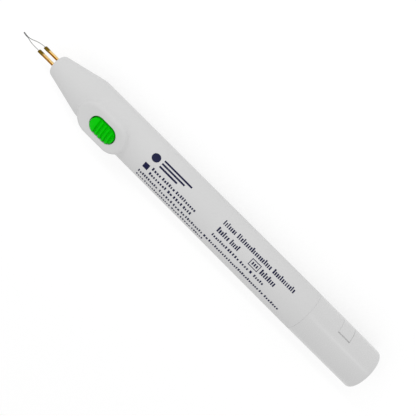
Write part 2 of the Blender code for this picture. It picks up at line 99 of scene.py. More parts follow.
def placeCamera():
    camera = bpy.data.objects.new("camera", bpy.data.cameras.new("camera"))
    bpy.context.scene.collection.objects.link(camera)
    turned = Matrix((frameRight, frameUp, towardsCamera)).transposed().to_4x4()
    spot = at(view["aim"]) + (acrossPen * view["aside"] + towardsCamera * view["reach"]) * mm
    camera.matrix_world = Matrix.Translation(spot) @ turned
    camera.data.lens = view["lens"]
    camera.data.sensor_width = view["sensor"]
    camera.data.clip_start = view["nearest"] * mm
    bpy.context.scene.camera = camera


studio = dict(floor=8.0, floorGlow=0.6, floorTone=("A8A8A8", "AAAAAA"), sky=0.885)
panels = {  # soft strips along the pen: the station each hangs over, then metres off, aside and across
    "keyStrip": dict(over=-45, reach=0.3, lean=0.06, size=(0.02, 0.3), power=0.2),
    "tailStrip": dict(over=240, reach=0.3, lean=0.015, size=(0.008, 0.17), power=0.045),
}


def hexColour(code):
    # an sRGB hex colour as linear light
    steps = [int(code[i : i + 2], 16) / 255 for i in (0, 2, 4)]
    return tuple(c / 12.92 if c <= 0.04045 else ((c + 0.055) / 1.055) ** 2.4 for c in steps) + (1.0,)


def addNode(tree, kind, inputs=None, **settings):
    # one node with its settings, and its inputs given as numbers or as other nodes' outputs
    made = tree.nodes.new(kind)
    for key, value in settings.items():
        setattr(made, key, value)
    for key, value in (inputs or {}).items():
        if isinstance(value, bpy.types.NodeSocket):
            tree.links.new(value, made.inputs[key])
        else:
            made.inputs[key].default_value = value
    return made


def startMaterial(name, **sockets):
    made = bpy.data.materials.new(name)
    made.use_nodes = True
    tree = made.node_tree
    shader = tree.nodes["Principled BSDF"]
    for key, value in sockets.items():
        shader.inputs[key.replace("_", " ")].default_value = value
    place = addNode(tree, "ShaderNodeTexCoord").outputs["Object"]
    return made, tree, shader, place


def feed(tree, shader, **sources):
    # what drives each of the shader's sockets
    for key, source in sources.items():
        tree.links.new(source, shader.inputs[key.replace("_", " ")])


def per(size):
    # texture scale for a pattern of that size in mm
    return 1 / (size * mm)


def lightStudio():
    world = bpy.data.worlds.new("softRoom")
    bpy.context.scene.world = world
    world.use_nodes = True
    world.node_tree.nodes["Background"].inputs["Color"].default_value = (1, 1, 1, 1)
    world.node_tree.nodes["Background"].inputs["Strength"].default_value = studio["sky"]
    for name, panel in panels.items():
        lamp = bpy.data.objects.new(name, bpy.data.lights.new(name, "AREA"))
        bpy.context.scene.collection.objects.link(lamp)
        lamp.data.shape = "RECTANGLE"
        lamp.data.size, lamp.data.size_y = panel["size"]
        lamp.data.energy = panel["power"]
        away = towardsCamera * panel["reach"] - acrossPen * panel["lean"]
        lamp.location = at(panel["over"]) + away
        lamp.rotation_euler = away.to_track_quat("Z", "X").to_euler()


def layFloor():
    # white acrylic sheet, lit from under: no grain to the eye, only its glow
    acrylic, tree, shader, place = startMaterial("whiteAcrylicSheet", Roughness=0.6, IOR=1.49)
    cloudSize = 400
    cloud = addNode(tree, "ShaderNodeTexNoise", {"Vector": place, "Scale": per(cloudSize)})
    low, high = (hexColour(code) for code in studio["floorTone"])
    tones = {"Factor": cloud.outputs["Fac"], "A": low, "B": high}
    tone = addNode(tree, "ShaderNodeMix", tones, data_type="RGBA")
    feed(tree, shader, Base_Color=tone.outputs["Result"])
    shader.inputs["Emission Color"].default_value = (1, 1, 1, 1)
    shader.inputs["Emission Strength"].default_value = studio["floorGlow"]
    bpy.ops.object.select_all(action="DESELECT")
    bpy.ops.mesh.primitive_plane_add(size=studio["floor"], location=(0, 0, cadBox[0].z))
    floor = bpy.context.object
    floor.name = "floor"
    floor.data.materials.append(acrylic)


bpy.context.scene.view_settings.view_transform = "Standard"
placeCamera()
lightStudio()
layFloor()
print("camera, lights and floor placed")


# modelling helpers

cutSides = 96  # round solids that are only cut with
facingAlong = (0, pi / 2, 0)
hair = 0.001  # mm, closer than any two real corners


def selectNone():
    if bpy.context.object and bpy.context.object.mode != "OBJECT":
        bpy.ops.object.mode_set(mode="OBJECT")
    bpy.ops.object.select_all(action="DESELECT")


def choose(*things):
    selectNone()
    for thing in things:
        thing.select_set(True)
    bpy.context.view_layer.objects.active = things[0]


def settle(piece):
    # the object's place and turn go into its mesh
    choose(piece)
    bpy.ops.object.transform_apply(location=True, rotation=True, scale=True)


def pick(piece, test, kind="EDGE"):
    # into edit mode, with just the corners, edges or faces that pass the test selected
    choose(piece)
    bpy.ops.object.mode_set(mode="EDIT")
    bpy.ops.mesh.select_mode(type=kind)
    bpy.ops.mesh.select_all(action="DESELECT")
    shape = bmesh.from_edit_mesh(piece.data)
    for item in {"VERT": shape.verts, "EDGE": shape.edges, "FACE": shape.faces}[kind]:
        if test(item):
            item.select_set(True)
    shape.select_flush_mode()
    bmesh.update_edit_mesh(piece.data)


def roundEdges(piece, test, width, steps):
    pick(piece, test)
    bpy.ops.mesh.bevel(offset=width * mm, segments=steps, affect="EDGES")
    bpy.ops.object.mode_set(mode="OBJECT")


def radiusOf(corner):
    return hypot(corner.co.y, corner.co.z - axisZ) / mm


def onRing(edge, station, radius):
    near = 0.03
    return all(
        abs(stationOf(v.co.x) - station) < near and abs(radiusOf(v) - radius) < near for v in edge.verts
    )


def startDisc(name, sides, radius, centre, turn, fill="NGON"):
    # a new disc or ring under its own name, with its place in its mesh
    selectNone()
    bpy.ops.mesh.primitive_circle_add(
        vertices=sides, radius=radius * mm, fill_type=fill, location=centre, rotation=turn
    )
    piece = bpy.context.object
    piece.name = name
    settle(piece)
    return piece


def drawAlong(station, nextStation):
    # what is selected is extruded along the pen
    step = {"value": ((station - nextStation) * mm, 0, 0)}
    bpy.ops.mesh.extrude_region_move(TRANSFORM_OT_translate=step)


def putInOrder(piece):
    # a cut hands back its corners, edges and faces in any order, which would sway what is merged next
    oddWay = Vector((1.0, 1.7, 2.9))
    shape = bmesh.from_edit_mesh(piece.data)
    shape.verts.sort(key=lambda corner: corner.co.dot(oddWay))
    shape.edges.sort(key=lambda edge: sum(v.co.dot(oddWay) for v in edge.verts))
    shape.faces.sort(key=lambda face: face.calc_center_median().dot(oddWay))
    bmesh.update_edit_mesh(piece.data)


def mergeNear(distance):
    # corners of the active piece that are closer than this become one
    bpy.ops.object.mode_set(mode="EDIT")
    putInOrder(bpy.context.object)
    bpy.ops.mesh.select_all(action="SELECT")
    bpy.ops.mesh.remove_doubles(threshold=distance * mm)
    bpy.ops.object.mode_set(mode="OBJECT")


def faceOut():
    bpy.ops.mesh.select_all(action="SELECT")
    bpy.ops.mesh.normals_make_consistent(inside=False)
    bpy.ops.object.mode_set(mode="OBJECT")


def pullOut(name, rings, sides, rounds=(), side=0.0, up=0.0):
    # a disc drawn along the pen from ring to ring, (station, radius), then rounded where rounds says
    station, radius = rings[0]
    piece = startDisc(name, sides, radius, at(station, side, up), facingAlong)
    bpy.ops.object.mode_set(mode="EDIT")
    bpy.ops.mesh.select_all(action="SELECT")
    for (station, radius), (nextStation, nextRadius) in zip(rings, rings[1:]):
        drawAlong(station, nextStation)
        share = nextRadius / radius
        bpy.ops.transform.resize(value=(1, share, share), center_override=at(nextStation, side, up))
    faceOut()
    for station, radius, width, steps in rounds:
        roundEdges(piece, lambda edge: onRing(edge, station, radius), width, steps)
    return piece


def raiseStadium(name, centre, length, width, low, high, corners=96, side=0.0):
    # a disc split and spread into a long round-ended plan, then raised
    piece = startDisc(name, corners, width / 2, at(centre, side, low), (0, 0, pi / corners))
    middle = at(centre).x
    reach = (length - width) / 2 * mm
    for hand in (1, -1):
        pick(piece, lambda corner: (corner.co.x - middle) * hand > 0, "VERT")
        bpy.ops.transform.translate(value=(hand * reach, 0, 0))
    bpy.ops.mesh.select_all(action="SELECT")
    bpy.ops.mesh.extrude_region_move(TRANSFORM_OT_translate={"value": (0, 0, (high - low) * mm)})
    faceOut()
    return piece


def addBlock(name, stations, width, heights, side=0.0):
    # a plain block between two stations and two heights, for cutting with
    selectNone()
    centre = at(sum(stations) / 2, side, sum(heights) / 2)
    size = ((stations[1] - stations[0]) * mm, width * mm, (heights[1] - heights[0]) * mm)
    bpy.ops.mesh.primitive_cube_add(size=1, location=centre, scale=size)
    piece = bpy.context.object
    piece.name = name
    settle(piece)
    return piece


def addPin(name, station, radius, low, high):
    # an upright round bar between two heights
    selectNone()
    centre = at(station, 0, (low + high) / 2)
    bpy.ops.mesh.primitive_cylinder_add(
        vertices=48, radius=radius * mm, depth=(high - low) * mm, location=centre
    )
    piece = bpy.context.object
    piece.name = name
    settle(piece)
    return piece


def combine(piece, other, how):
    choose(piece)
    step = piece.modifiers.new(how.title(), "BOOLEAN")
    step.operation = how
    step.object = other
    bpy.ops.object.modifier_apply(modifier=step.name)
    bpy.data.objects.remove(other, do_unlink=True)


def applyStep(piece, kind, **values):
    choose(piece)
    step = piece.modifiers.new(kind.title(), kind)
    for key, value in values.items():
        setattr(step, key, value)
    bpy.ops.object.modifier_apply(modifier=step.name)


def fitOut(piece, finish, slot, body, *replaced, smooth=30):
    # the finish, the shading, the body it moves with and the CAD nodes it stands for
    piece.data.name = piece.name
    piece.data.materials.clear()
    piece.data.materials.append(finish)
    choose(piece)
    bpy.ops.object.shade_smooth_by_angle(angle=radians(smooth))
    if body:
        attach(piece, body)
    if replaced:
        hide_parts(*replaced)
    return piece


# materials


def mouldedAbs(name, colour, roughness, grain, depth, shine=0.5):
    # injection-moulded ABS or nylon: an even colour and a soft shine from a fine spark-eroded tooth,
    # drawn a little coarser than the real 0.05 mm so that it shows
    made, tree, shader, place = startMaterial(name, IOR=1.54, Specular_IOR_Level=shine)
    cloudSize, uneven, toothStrength = 14, 0.05, 0.35
    clouds = {"Vector": place, "Scale": per(cloudSize), "Detail": 3.0}
    cloud = addNode(tree, "ShaderNodeTexNoise", clouds)
    low, high = (hexColour(code) for code in colour)
    tones = {"Factor": cloud.outputs["Fac"], "A": low, "B": high}
    tone = addNode(tree, "ShaderNodeMix", tones, data_type="RGBA")
    teeth = {"Vector": place, "Scale": per(grain), "Detail": 2.0, "Roughness": 0.6}
    tooth = addNode(tree, "ShaderNodeTexNoise", teeth)
    spread = {"Value": tooth.outputs["Fac"], "To Min": roughness - uneven, "To Max": roughness + uneven}
    gloss = addNode(tree, "ShaderNodeMapRange", spread)
    height = {"Height": tooth.outputs["Fac"], "Strength": toothStrength, "Distance": depth * mm}
    bump = addNode(tree, "ShaderNodeBump", height)
    feed(
        tree, shader, Base_Color=tone.outputs["Result"], Roughness=gloss.outputs["Result"],
        Normal=bump.outputs["Normal"],
    )
    return made


barrelAbs = mouldedAbs("barrelAbs", ("C9C9C9", "CDCDCD"), 0.52, 0.22, 0.02, 0.12)
capAbs = mouldedAbs("capAbs", ("C6C6C6", "C9C9C9"), 0.27, 0.3, 0.004, 0.5)
buttonAbs = mouldedAbs("buttonAbs", ("00BC00", "00C600"), 0.36, 0.3, 0.006, 0.05)

# the pale tone is painted highlight and the film tone is painted shade; the stain is a real heat stain
brassLook = dict(
    paintedLightTone="E2C484", film="A06A12", streakShadeFrom=0.05, streakShadeTo=0.7, stain="6E5612", stainFrom=2.9, stainTo=1.7,
    streak=0.25, stretch=0.03, gloss=(0.22, 0.36),
)


def drawnBrass():
    # drawn brass tube: fine draw lines along its length, a pale painted highlight on the side facing the
    # lamps, a deeper tone painted as shade on the side away from the button and the lamps, picked by which
    # way each face turns, and an olive heat stain on the crimped end
    look = brassLook
    made, tree, shader, place = startMaterial("drawnBrass", Metallic=1.0)
    spread = addNode(tree, "ShaderNodeMapping", {"Vector": place, "Scale": (look["stretch"], 1, 1)})
    lines = {"Vector": spread.outputs["Vector"], "Scale": per(look["streak"])}
    streaks = addNode(tree, "ShaderNodeTexNoise", lines)
    # painted shade: faces turned towards acrossPen, away from the lamps, get the deeper tone, and faces
    # turned the other way keep the pale painted highlight
    facing = addNode(tree, "ShaderNodeNewGeometry")
    sides = {0: facing.outputs["Normal"], 1: acrossPen}
    side = addNode(tree, "ShaderNodeVectorMath", sides, operation="DOT_PRODUCT")
    both = {0: streaks.outputs["Fac"], 1: side.outputs["Value"]}
    uneven = addNode(tree, "ShaderNodeMath", both, operation="ADD")
    # real draw lines plus the painted shade from the face direction, ramped into how much of the deeper
    # tone shows
    reach = {"Value": uneven.outputs["Value"], "From Min": look["streakShadeFrom"], "From Max": look["streakShadeTo"]}
    film = addNode(tree, "ShaderNodeMapRange", reach, interpolation_type="SMOOTHSTEP")
    tones = {"Factor": film.outputs["Result"], "A": hexColour(look["paintedLightTone"]), "B": hexColour(look["film"])}
    paintedLightTone = addNode(tree, "ShaderNodeMix", tones, data_type="RGBA")
    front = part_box("tip_post_top")[1].x
    along = addNode(tree, "ShaderNodeSeparateXYZ", {"Vector": place})
    crimp = {
        "Value": along.outputs["X"],
        "From Min": front - look["stainFrom"] * mm,
        "From Max": front - look["stainTo"] * mm,
    }
    stain = addNode(tree, "ShaderNodeMapRange", crimp, interpolation_type="SMOOTHSTEP")
    tones = {"Factor": stain.outputs["Result"], "A": paintedLightTone.outputs["Result"], "B": hexColour(look["stain"])}
    tone = addNode(tree, "ShaderNodeMix", tones, data_type="RGBA")
    low, high = look["gloss"]
    shine = {"Value": streaks.outputs["Fac"], "To Min": low, "To Max": high}
    gloss = addNode(tree, "ShaderNodeMapRange", shine)
    feed(tree, shader, Base_Color=tone.outputs["Result"], Roughness=gloss.outputs["Result"])
    return made


def heatedWire():
    # nickel-chromium wire: dull grey from drawing, oxidised darker towards the point
    made, tree, shader, place = startMaterial("heatedWire", Metallic=1.0)
    heatedLength, mottleSize, smooth, rough = 6, 0.5, 0.3, 0.5
    along = addNode(tree, "ShaderNodeSeparateXYZ", {"Vector": place})
    hot = {"Value": along.outputs["X"], "From Min": tipX - heatedLength * mm, "From Max": tipX}
    heat = addNode(tree, "ShaderNodeMapRange", hot, interpolation_type="SMOOTHSTEP")
    mottle = addNode(tree, "ShaderNodeTexNoise", {"Vector": place, "Scale": per(mottleSize)})
    both = {0: heat.outputs["Result"], 1: mottle.outputs["Fac"]}
    patchy = addNode(tree, "ShaderNodeMath", both, operation="MULTIPLY")
    tones = {"Factor": patchy.outputs["Value"], "A": hexColour("989896"), "B": hexColour("38363C")}
    tone = addNode(tree, "ShaderNodeMix", tones, data_type="RGBA")
    shine = {"Value": mottle.outputs["Fac"], "To Min": smooth, "To Max": rough}
    gloss = addNode(tree, "ShaderNodeMapRange", shine)
    feed(tree, shader, Base_Color=tone.outputs["Result"], Roughness=gloss.outputs["Result"])
    return made


def printedInk(name, colour, roughness):
    # pad-printed epoxy ink: a dense, slightly uneven film with a soft shine
    made, tree, shader, place = startMaterial(name, IOR=1.5, Specular_IOR_Level=0.2)
    coverSize, uneven = 0.35, 0.08
    cover = addNode(tree, "ShaderNodeTexNoise", {"Vector": place, "Scale": per(coverSize), "Detail": 3.0})
    low, high = (hexColour(code) for code in colour)
    tones = {"Factor": cover.outputs["Fac"], "A": low, "B": high}
    tone = addNode(tree, "ShaderNodeMix", tones, data_type="RGBA")
    spread = {"Value": cover.outputs["Fac"], "To Min": roughness - uneven, "To Max": roughness + uneven}
    gloss = addNode(tree, "ShaderNodeMapRange", spread)
    feed(tree, shader, Base_Color=tone.outputs["Result"], Roughness=gloss.outputs["Result"])
    return made


def pressedMetal(name, colour, roughness, streak, stretch):
    # sheet or wire that was rolled: faint streaks along the pen, and the shine breaks up with them
    made, tree, shader, place = startMaterial(name, Metallic=1.0)
    smoother, rougher = 0.08, 0.1
    spread = addNode(tree, "ShaderNodeMapping", {"Vector": place, "Scale": (stretch, 1, 1)})
    lines = {"Vector": spread.outputs["Vector"], "Scale": per(streak), "Detail": 4.0}
    streaks = addNode(tree, "ShaderNodeTexNoise", lines)
    low, high = (hexColour(code) for code in colour)
    tones = {"Factor": streaks.outputs["Fac"], "A": low, "B": high}
    tone = addNode(tree, "ShaderNodeMix", tones, data_type="RGBA")
    shine = {"Value": streaks.outputs["Fac"], "To Min": roughness - smoother, "To Max": roughness + rougher}
    gloss = addNode(tree, "ShaderNodeMapRange", shine)
    feed(tree, shader, Base_Color=tone.outputs["Result"], Roughness=gloss.outputs["Result"])
    return made


def fibreBoard(name, colour, fleck, roughness):
    # pressed fibre or mineral-filled resin: pale and dull, with darker flecks
    made, tree, shader, place = startMaterial(name, Roughness=roughness, IOR=1.5)
    fleckEdge, fleckDepth, fleckStrength = 0.5, 0.02, 0.3
    flecks = addNode(tree, "ShaderNodeTexVoronoi", {"Vector": place, "Scale": per(fleck)})
    reach = {"Value": flecks.outputs["Distance"], "From Max": fleckEdge}
    share = addNode(tree, "ShaderNodeMapRange", reach)
    low, high = (hexColour(code) for code in colour)
    tones = {"Factor": share.outputs["Result"], "A": low, "B": high}
    tone = addNode(tree, "ShaderNodeMix", tones, data_type="RGBA")
    height = {"Height": flecks.outputs["Distance"], "Strength": fleckStrength, "Distance": fleckDepth * mm}
    bump = addNode(tree, "ShaderNodeBump", height)
    feed(tree, shader, Base_Color=tone.outputs["Result"], Normal=bump.outputs["Normal"])
    return made


brassTube = drawnBrass()
nichrome = heatedWire()
navyInk = printedInk("navyInk", ("03052A", "0A0F42"), 0.5)
finishes = {
    "brass": pressedMetal("rolledBrass", ("B8924A", "CFA85C"), 0.32, 0.2, 0.1),
    "heat_plug": fibreBoard("filledResin", ("D8D2C2", "E4E0D4"), 0.4, 0.6),
    "inner_moulding": mouldedAbs("darkNylon", ("2A2A2D", "323236"), 0.48, 0.3, 0.01),
    "plated_steel": pressedMetal("nickelPlate", ("B4B3AE", "CBCAC6"), 0.28, 0.3, 0.2),
    "cell_can": pressedMetal("nickelCan", ("B0B0AE", "C6C6C4"), 0.26, 0.4, 1.0),
    "navy_print": printedInk("printedFilm", ("10163A", "161E4C"), 0.3),
    "fibre_washer": fibreBoard("fibreBoard", ("D6CDB4", "E2DBC8"), 0.3, 0.85),
}
for part in frame["record"]["subparts"]:
    if part["material_slot"] in finishes:
        for place in nodes[part["node"]].material_slots:
            place.material = finishes[part["material_slot"]]
print("materials made:", len(bpy.data.materials))


# barrel with its raised pad

barrelLow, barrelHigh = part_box("barrel_shell")
buttonLow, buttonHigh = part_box("switch_button")
buttonCentre = stationOf((buttonLow.x + buttonHigh.x) / 2)
barrel = dict(  # mm; places along it are stations back from the wire's point
    sides=192, noseCorner=4.257, noseRound=1.25, shoulder=(35.05, 8.577), shoulderBlend=0.24,
    seam=146.9, seamRadius=8.86, seamRound=0.05, spigotRadius=7.95, spigotRound=0.35,
    bore=((18.6, 3.1), (36.2, 7.1), (70.0, 7.1), (70.0, 7.35)),
    groove=(60.0, 3.8, 8.0),  # for the long strip: where it starts, its width and its top
)
pad = dict(
    front=36.1, rear=58.6, width=13.5, top=10.15, edge=1.5, fillet=1.4, patch=(33.4, 61.6), step=0.4,
    root=2.0, underside=8.4, highest=13.0, halvings=20,
)
opening = dict(length=11.8, width=7.3, rim=0.18, rimSteps=4, pocket=(14.6, 10.0), corners=64)
postPair = dict(spacing=3.18, turn=19, hole=0.78, holeSides=40)
past = 2.0  # how far a cutting solid runs on past what it cuts


def postCentre(hand):
    # side and height of a post: hand 1 is the one nearer the button
    turn = radians(postPair["turn"])
    reach = hand * postPair["spacing"] / 2
    return reach * sin(turn), reach * cos(turn)


def softLeast(one, other, blend):
    # the smaller of two lengths, with the corner between them rounded over
    share = max(blend - abs(one - other), 0) / blend
    return min(one, other) - share * share * blend / 4


def barrelRadius(station):
    # cone up to the shoulder, then a very slight taper back to the seam
    nose = stationOf(barrelHigh.x)
    corner, wide = barrel["shoulder"]
    cone = wide + (station - corner) * (wide - barrel["noseCorner"]) / (corner - nose)
    body = wide + (station - corner) * (barrel["seamRadius"] - wide) / (barrel["seam"] - corner)
    return softLeast(cone, body, barrel["shoulderBlend"])


def outsideBy(station, side, up):
    # how far a place is outside the barrel and its pad together, with a fillet where they meet
    fromBarrel = hypot(side, up) - barrelRadius(station)
    middle = (pad["front"] + pad["rear"]) / 2
    straight = (pad["rear"] - pad["front"] - pad["width"]) / 2
    edge = pad["edge"]
    beside = hypot(max(abs(station - middle) - straight, 0), side) - pad["width"] / 2 + edge
    above = up - pad["top"] + edge
    fromPad = hypot(max(beside, 0), max(above, 0)) + min(max(beside, above), 0) - edge
    return softLeast(fromBarrel, fromPad, pad["fillet"])


def swellPad(piece):
    # the turned skin is drawn straight out from the axis until it lies on the pad
    inward = 0.1
    for corner in piece.data.vertices:
        station, reach = stationOf(corner.co.x), radiusOf(corner)
        side, up = corner.co.y / mm / reach, (corner.co.z - axisZ) / mm / reach
        if not pad["patch"][0] < station < pad["patch"][1] or up < 0:
            continue
        low, high = reach - inward, pad["highest"]
        for halving in range(pad["halvings"]):
            middle = (low + high) / 2
            if outsideBy(station, side * middle, up * middle) < 0:
                low = middle
            else:
                high = middle
        corner.co = at(station, side * low, up * low)


def makeBarrel():
    nose = stationOf(barrelHigh.x)
    spigotEnd = stationOf(barrelLow.x)
    first, last = pad["patch"]
    count = round((last - first) / pad["step"])
    patch = [first + (last - first) * i / count for i in range(count + 1)]
    rings = [
        (nose, barrel["noseCorner"]), *((station, barrelRadius(station)) for station in patch),
        (barrel["seam"], barrel["seamRadius"]), (barrel["seam"], barrel["spigotRadius"]),
        (spigotEnd, barrel["spigotRadius"]),
    ]
    rounds = [
        (nose, barrel["noseCorner"], barrel["noseRound"], 8),
        (barrel["seam"], barrel["seamRadius"], barrel["seamRound"], 3),
        (spigotEnd, barrel["spigotRadius"], barrel["spigotRound"], 3),
    ]
    piece = pullOut("barrelMoulding", rings, barrel["sides"], rounds)
    swellPad(piece)

    bore = [*barrel["bore"], (spigotEnd + past, barrel["bore"][-1][1])]
    combine(piece, pullOut("boreSolid", bore, cutSides), "DIFFERENCE")
    heights = pad["root"], pad["underside"]
    pocket = raiseStadium("pocketSolid", buttonCentre, *opening["pocket"], *heights, opening["corners"])
    combine(piece, pocket, "DIFFERENCE")
    combine(piece, flaredOpening(), "DIFFERENCE")
    start, width, top = barrel["groove"]
    groove = addBlock("grooveSolid", (start, spigotEnd + past), width, (pad["root"], top))
    combine(piece, groove, "DIFFERENCE")
    for hand in (1, -1):
        hole = [(nose - past, postPair["hole"]), (nose + 2 * past, postPair["hole"])]
        solid = pullOut("holeSolid", hole, postPair["holeSides"], (), *postCentre(hand))
        combine(piece, solid, "DIFFERENCE")
    return fitOut(piece, barrelAbs, "barrel_moulding", "pen", "barrel_shell")


def flaredOpening():
    # the button's hole, opening out in a small round at the pad's top
    rim, steps = opening["rim"], opening["rimSteps"]
    length, width = opening["length"], opening["width"]
    foot = pad["top"] - rim
    piece = raiseStadium("openingSolid", buttonCentre, length, width, pad["root"], foot)
    upwards = 0.9
    flareZ = at(0, 0, foot).z - hair * mm
    pick(piece, lambda face: face.normal.z > upwards and face.calc_center_median().z > flareZ, "FACE")
    spread = 0.0
    for i in range(1, steps + 2):
        angle = min(i / steps, 1) * pi / 2
        lift = rim * (sin(angle) - sin(min((i - 1) / steps, 1) * pi / 2)) if i <= steps else past / 2
        grown = rim * (1 - cos(angle)) - spread
        long, wide = length + 2 * spread, width + 2 * spread
        spread += grown
        bpy.ops.mesh.extrude_region_move(TRANSFORM_OT_translate={"value": (0, 0, lift * mm)})
        bpy.ops.transform.resize(
            value=((long + 2 * grown) / long, (wide + 2 * grown) / wide, 1),
            center_override=at(buttonCentre, 0, pad["top"]),
        )
    bpy.ops.object.mode_set(mode="OBJECT")
    return piece


barrelPiece = makeBarrel()
print("barrel:", len(barrelPiece.data.polygons), "faces")


# end cap

cap = dict(
    gap=0.02, bore=8.1, endWall=1.6, tailRadius=8.72, corner=1.1, mark=(159.2, 164.8), markHeight=10.5,
    frontLine=0.05, rearLine=0.1, longLine=0.5, depth=0.42, taper=0.02,
)


def makeCap():
    front = barrel["seam"] + cap["gap"]
    tail = stationOf(capLow.x)
    rings = [(front, cap["bore"]), (front, barrel["seamRadius"]), (tail, cap["tailRadius"])]
    rounds = [
        (front, barrel["seamRadius"], barrel["seamRound"], 3),
        (tail, cap["tailRadius"], cap["corner"], 10),
    ]
    piece = pullOut("capMoulding", rings, barrel["sides"], rounds)
    inside = [(front - past / 2, cap["bore"]), (tail - cap["endWall"], cap["bore"])]
    combine(piece, pullOut("capBoreSolid", inside, cutSides), "DIFFERENCE")
    for hand in (1, -1):
        combine(piece, markOutline(hand), "DIFFERENCE")
    return fitOut(piece, capAbs, "cap_moulding", "cap", "rear_cap")


def markOutline(hand):
    # a shallow rectangular line on the cap's side, as deep as the line's own depth all round
    low, high = cap["mark"]
    half = cap["markHeight"] / 2
    inner = barrel["seamRadius"] - cap["depth"]
    reach = dict(side=hand * 9, wide=8, wider=10)  # blocks that stand across the cap's skin
    piece = addBlock("markSolid", (low, high), reach["wide"], (-half, half), reach["side"])
    stations = low + cap["frontLine"], high - cap["rearLine"]
    heights = cap["longLine"] - half, half - cap["longLine"]
    inside = addBlock("markInner", stations, reach["wider"], heights, reach["side"])
    combine(piece, inside, "DIFFERENCE")
    core = [(low - past, inner - cap["taper"]), (high + past, inner - 2 * cap["taper"])]
    combine(piece, pullOut("markCore", core, cutSides), "DIFFERENCE")
    return piece


capPiece = makeCap()
print("cap:", len(capPiece.data.polygons), "faces")


# push button

button = dict(
    length=11.0, width=6.25, crown=11.0, front=((-1.0, -1.1), (1.9, -0.12)), rear=(1.0, -1.3),
    grooves=5, grooveCentre=49.4, pitch=1.63, grooveDepth=0.75, flank=(0.34, 0.13), edge=0.12, play=0.18,
    flange=(13.3, 9.0, 1.1, 8.1), stem=1.4, sunk=0.5, corners=96, crownSides=240, merge=0.08,
)


def makeButton():
    stemFoot = (buttonLow.z - axisZ) / mm
    flangeLength, flangeWidth, flangeThick, flangeTop = button["flange"]
    low, high = flangeTop - button["sunk"], button["crown"] + past / 2
    plan = button["length"], button["width"]
    piece = raiseStadium("pushButton", buttonCentre, *plan, low, high, button["corners"], button["play"])
    front = buttonCentre - button["length"] / 2
    rear = buttonCentre + button["length"] / 2
    crown = [(front + along, button["crown"] + up) for along, up in button["front"]]
    first = button["grooveCentre"] - (button["grooves"] - 1) / 2 * button["pitch"]
    for i in range(button["grooves"]):
        middle = first + i * button["pitch"]
        edge, floor = (button["pitch"] * share for share in button["flank"])
        for along, down in ((-edge, 0), (-floor, 1), (floor, 1), (edge, 0)):
            crown.append((middle + along, button["crown"] - down * button["grooveDepth"]))
    crown.append((rear + button["rear"][0], button["crown"] + button["rear"][1]))
    combine(piece, pullOut("crownSolid", crown, button["crownSides"]), "INTERSECT")
    size = flangeLength, flangeWidth, flangeTop - flangeThick, flangeTop
    flange = raiseStadium("flangeSolid", buttonCentre, *size, opening["corners"])
    combine(piece, flange, "UNION")
    combine(piece, addPin("stemSolid", buttonCentre, button["stem"], stemFoot, low), "UNION")
    mergeNear(button["merge"])
    bpy.ops.object.mode_set(mode="EDIT")
    bpy.ops.mesh.dissolve_degenerate(threshold=hair * mm)
    bpy.ops.object.mode_set(mode="OBJECT")
    applyStep(
        piece, "BEVEL", width=button["edge"] * mm, segments=3, limit_method="ANGLE",
        angle_limit=radians(28), use_clamp_overlap=True,
    )
    return fitOut(piece, buttonAbs, "button_moulding", "button", "switch_button")


buttonPiece = makeButton()
print("button:", len(buttonPiece.data.polygons), "faces")


# posts and wire

post = dict(
    radius=0.66, bore=0.38, crimp=(0.82, 0.52), crimpLength=2.2, taper=(0.5, 0.4), crimpBore=(0.34, 0.28),
    shoulder=0.02, lip=(0.15, 0.1, 0.08), sides=48,
)
wire = dict(
    radius=0.145, turn=0.185, turnMiddle=0.5, turnSteps=4,
    out=[
        (12.6, 1.59), (10.0, 1.59), (7.9, 1.64), (6.2, 1.62), (4.9, 1.5), (3.8, 1.22), (2.8, 0.96),
        (1.5, 0.9),
    ],
    back=[
        (1.5, 0.55), (2.8, 0.56), (3.8, 0.28), (4.9, -0.35), (6.0, -0.95), (7.2, -1.38), (8.2, -1.59),
        (10.0, -1.59), (12.6, -1.59),
    ],
)


def turnPair(piece):
    # from straight up to the pair's own turn about the pen's axis
    turn = Matrix.Rotation(radians(-postPair["turn"]), 4, "X")
    piece.data.transform(Matrix.Translation(at(0)) @ turn @ Matrix.Translation(-at(0)))


def makePosts():
    # each ring of the tube: station, half its height and half its breadth, out and back inside
    low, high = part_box("tip_post_top")
    front = stationOf(high.x)
    rear = stationOf(low.x)
    crimpEnd = front + post["crimpLength"]
    wide, thick = post["crimp"]
    lip, tall, broad = post["lip"]
    up = postPair["spacing"] / 2
    rings = [
        (rear, post["radius"], post["radius"]),
        (crimpEnd + post["taper"][1], post["radius"], post["radius"]),
        (crimpEnd, (post["radius"] + wide) / 2 + post["shoulder"], (post["radius"] + thick) / 2),
        (crimpEnd - post["taper"][0], wide, thick),
        (front + lip, wide, thick),
        (front, wide - tall, thick - broad),
        (front, *post["crimpBore"]),
        (crimpEnd, *post["crimpBore"]),
        (crimpEnd + 2 * post["taper"][1], post["bore"], post["bore"]),
        (rear, post["bore"], post["bore"]),
    ]
    piece = startDisc("postUpper", post["sides"], post["radius"], at(rear, 0, up), facingAlong, "NOTHING")
    bpy.ops.object.mode_set(mode="EDIT")
    bpy.ops.mesh.select_all(action="SELECT")
    for (station, tall, broad), (nextStation, nextTall, nextBroad) in zip(rings, rings[1:]):
        drawAlong(station, nextStation)
        bpy.ops.transform.resize(
            value=(1, nextBroad / broad, nextTall / tall), center_override=at(nextStation, 0, up)
        )
    pick(piece, lambda edge: edge.is_boundary)
    bpy.ops.mesh.bridge_edge_loops()
    faceOut()

    choose(piece)
    bpy.ops.object.duplicate()
    lower = bpy.context.object
    lower.name = "postLower"
    lower.location.z = -postPair["spacing"] * mm
    settle(lower)
    for each, node in ((piece, "tip_post_top"), (lower, "tip_post_bottom")):
        turnPair(each)
        fitOut(each, brassTube, "brass", "pen", node)


